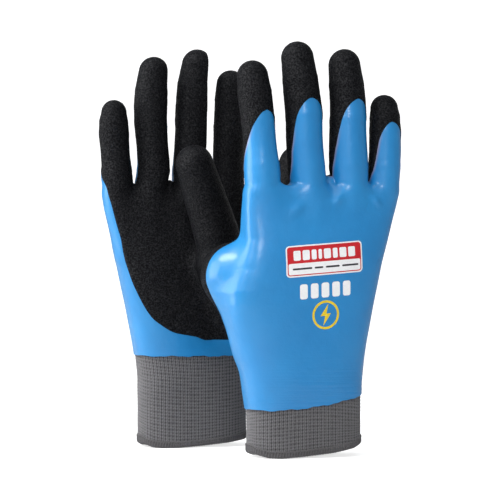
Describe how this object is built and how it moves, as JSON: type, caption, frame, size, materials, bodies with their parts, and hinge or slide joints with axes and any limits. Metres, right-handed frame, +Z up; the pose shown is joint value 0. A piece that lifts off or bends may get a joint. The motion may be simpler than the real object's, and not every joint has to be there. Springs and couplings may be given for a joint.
{
  "type": "coated insulating work gloves",
  "caption": "Standing knit-lined work gloves with a smooth full coat, a grippy coat on palm and fingertips, rib cuffs and a printed back label; fingers and thumbs bend.",
  "frame": {"origin": "middle of the front glove's cuff mouth, on the plane both gloves stand on", "axes": "+Z up from the cuffs to the fingertips, +X to the right, +Y away from the viewer, from the front glove's back to the rear glove"},
  "size_m": [0.1884, 0.128, 0.2556],
  "materials": {
    "smooth_coat": "gloss",
    "grip_coat": "matte sandy",
    "knit_lining": "matte",
    "knit_cuff": "matte",
    "hem_thread": "matte",
    "print_red": "satin",
    "print_white": "satin",
    "print_yellow": "satin"
  },
  "bodies": {
    "front_palm": {"front_liner": "knit_lining", "front_coat": "smooth_coat", "front_grip": "grip_coat", "front_cuff": "knit_cuff", "front_hem": "hem_thread", "front_label_plate": "print_red", "front_label_panel": "print_white", "front_rating_marks": "print_white", "front_emblem": "print_yellow"},
    "front_index_base": {"front_index_base_coat": "smooth_coat", "front_index_base_grip": "grip_coat"},
    "front_index_tip": {"front_index_tip_coat": "smooth_coat", "front_index_tip_grip": "grip_coat"},
    "front_middle_base": {"front_middle_base_coat": "smooth_coat", "front_middle_base_grip": "grip_coat"},
    "front_middle_tip": {"front_middle_tip_coat": "smooth_coat", "front_middle_tip_grip": "grip_coat"},
    "front_ring_base": {"front_ring_base_coat": "smooth_coat", "front_ring_base_grip": "grip_coat"},
    "front_ring_tip": {"front_ring_tip_coat": "smooth_coat", "front_ring_tip_grip": "grip_coat"},
    "front_little_base": {"front_little_base_coat": "smooth_coat", "front_little_base_grip": "grip_coat"},
    "front_little_tip": {"front_little_tip_coat": "smooth_coat", "front_little_tip_grip": "grip_coat"},
    "front_thumb_base": {"front_thumb_base_coat": "smooth_coat", "front_thumb_base_grip": "grip_coat"},
    "front_thumb_tip": {"front_thumb_tip_coat": "smooth_coat", "front_thumb_tip_grip": "grip_coat"},
    "rear_palm": {"rear_liner": "knit_lining", "rear_coat": "smooth_coat", "rear_grip": "grip_coat", "rear_cuff": "knit_cuff", "rear_hem": "hem_thread", "rear_label_plate": "print_red", "rear_label_panel": "print_white", "rear_rating_marks": "print_white", "rear_emblem": "print_yellow"},
    "rear_index_base": {"rear_index_base_coat": "smooth_coat", "rear_index_base_grip": "grip_coat"},
    "rear_index_tip": {"rear_index_tip_coat": "smooth_coat", "rear_index_tip_grip": "grip_coat"},
    "rear_middle_base": {"rear_middle_base_coat": "smooth_coat", "rear_middle_base_grip": "grip_coat"},
    "rear_middle_tip": {"rear_middle_tip_coat": "smooth_coat", "rear_middle_tip_grip": "grip_coat"},
    "rear_ring_base": {"rear_ring_base_coat": "smooth_coat", "rear_ring_base_grip": "grip_coat"},
    "rear_ring_tip": {"rear_ring_tip_coat": "smooth_coat", "rear_ring_tip_grip": "grip_coat"},
    "rear_little_base": {"rear_little_base_coat": "smooth_coat", "rear_little_base_grip": "grip_coat"},
    "rear_little_tip": {"rear_little_tip_coat": "smooth_coat", "rear_little_tip_grip": "grip_coat"},
    "rear_thumb_base": {"rear_thumb_base_coat": "smooth_coat", "rear_thumb_base_grip": "grip_coat"},
    "rear_thumb_tip": {"rear_thumb_tip_coat": "smooth_coat", "rear_thumb_tip_grip": "grip_coat"}
  },
  "joints": [
    {"name": "front_index_knuckle", "type": "hinge", "parent": "front_palm", "child": "front_index_base", "pos_m": [-0.0259, -0.00836, 0.177], "axis": [-0.9397, -0.342, 0], "range_deg": [-5, 60], "stiffness_Nm_per_rad": 0.06},
    {"name": "front_index_middle", "type": "hinge", "parent": "front_index_base", "child": "front_index_tip", "pos_m": [-0.0288, -0.00842, 0.204], "axis": [-0.9397, -0.342, 0], "range_deg": [0, 75], "stiffness_Nm_per_rad": 0.04},
    {"name": "front_middle_knuckle", "type": "hinge", "parent": "front_palm", "child": "front_middle_base", "pos_m": [0.0021, 0.00183, 0.177], "axis": [-0.9397, -0.342, 0], "range_deg": [-5, 40], "stiffness_Nm_per_rad": 0.06},
    {"name": "front_middle_middle", "type": "hinge", "parent": "front_middle_base", "child": "front_middle_tip", "pos_m": [-0.00077, 0.00194, 0.208], "axis": [-0.9397, -0.342, 0], "range_deg": [0, 45], "stiffness_Nm_per_rad": 0.04},
    {"name": "front_ring_knuckle", "type": "hinge", "parent": "front_palm", "child": "front_ring_base", "pos_m": [0.02794, 0.01123, 0.177], "axis": [-0.9397, -0.342, 0], "range_deg": [-5, 46], "stiffness_Nm_per_rad": 0.06},
    {"name": "front_ring_middle", "type": "hinge", "parent": "front_ring_base", "child": "front_ring_tip", "pos_m": [0.02617, 0.01167, 0.206], "axis": [-0.9397, -0.342, 0], "range_deg": [0, 60], "stiffness_Nm_per_rad": 0.04},
    {"name": "front_little_knuckle", "type": "hinge", "parent": "front_palm", "child": "front_little_base", "pos_m": [0.04937, 0.01903, 0.177], "axis": [-0.9397, -0.342, 0], "range_deg": [-5, 65], "stiffness_Nm_per_rad": 0.06},
    {"name": "front_little_middle", "type": "hinge", "parent": "front_little_base", "child": "front_little_tip", "pos_m": [0.04925, 0.01981, 0.199], "axis": [-0.9397, -0.342, 0], "range_deg": [0, 80], "stiffness_Nm_per_rad": 0.04},
    {"name": "front_thumb_knuckle", "type": "hinge", "parent": "front_palm", "child": "front_thumb_base", "pos_m": [-0.01575, 0.03098, 0.138], "axis": [-0.9397, -0.342, 0], "range_deg": [0, 25], "stiffness_Nm_per_rad": 0.06},
    {"name": "front_thumb_middle", "type": "hinge", "parent": "front_thumb_base", "child": "front_thumb_tip", "pos_m": [-0.00925, 0.03654, 0.1585], "axis": [-0.342, 0.9397, 0], "range_deg": [0, 50], "stiffness_Nm_per_rad": 0.04},
    {"name": "rear_index_knuckle", "type": "hinge", "parent": "rear_palm", "child": "rear_index_base", "pos_m": [-0.0441, 0.08836, 0.177], "axis": [0.9397, 0.342, 0], "range_deg": [-5, 60], "stiffness_Nm_per_rad": 0.06},
    {"name": "rear_index_middle", "type": "hinge", "parent": "rear_index_base", "child": "rear_index_tip", "pos_m": [-0.0412, 0.08842, 0.204], "axis": [0.9397, 0.342, 0], "range_deg": [0, 75], "stiffness_Nm_per_rad": 0.04},
    {"name": "rear_middle_knuckle", "type": "hinge", "parent": "rear_palm", "child": "rear_middle_base", "pos_m": [-0.0721, 0.07817, 0.177], "axis": [0.9397, 0.342, 0], "range_deg": [-5, 40], "stiffness_Nm_per_rad": 0.06},
    {"name": "rear_middle_middle", "type": "hinge", "parent": "rear_middle_base", "child": "rear_middle_tip", "pos_m": [-0.06923, 0.07806, 0.208], "axis": [0.9397, 0.342, 0], "range_deg": [0, 45], "stiffness_Nm_per_rad": 0.04},
    {"name": "rear_ring_knuckle", "type": "hinge", "parent": "rear_palm", "child": "rear_ring_base", "pos_m": [-0.09794, 0.06877, 0.177], "axis": [0.9397, 0.342, 0], "range_deg": [-5, 46], "stiffness_Nm_per_rad": 0.06},
    {"name": "rear_ring_middle", "type": "hinge", "parent": "rear_ring_base", "child": "rear_ring_tip", "pos_m": [-0.09617, 0.06833, 0.206], "axis": [0.9397, 0.342, 0], "range_deg": [0, 60], "stiffness_Nm_per_rad": 0.04},
    {"name": "rear_little_knuckle", "type": "hinge", "parent": "rear_palm", "child": "rear_little_base", "pos_m": [-0.11937, 0.06097, 0.177], "axis": [0.9397, 0.342, 0], "range_deg": [-5, 65], "stiffness_Nm_per_rad": 0.06},
    {"name": "rear_little_middle", "type": "hinge", "parent": "rear_little_base", "child": "rear_little_tip", "pos_m": [-0.11925, 0.06019, 0.199], "axis": [0.9397, 0.342, 0], "range_deg": [0, 80], "stiffness_Nm_per_rad": 0.04},
    {"name": "rear_thumb_knuckle", "type": "hinge", "parent": "rear_palm", "child": "rear_thumb_base", "pos_m": [-0.05425, 0.04902, 0.138], "axis": [0.9397, 0.342, 0], "range_deg": [0, 25], "stiffness_Nm_per_rad": 0.06},
    {"name": "rear_thumb_middle", "type": "hinge", "parent": "rear_thumb_base", "child": "rear_thumb_tip", "pos_m": [-0.06075, 0.04346, 0.1585], "axis": [0.342, -0.9397, 0], "range_deg": [0, 50], "stiffness_Nm_per_rad": 0.04},
    {"name": "rear_glove_away", "type": "slide", "parent": "front_palm", "child": "rear_palm", "axis": [0, 1, 0], "range_m": [0, 0.15]}
  ]
}
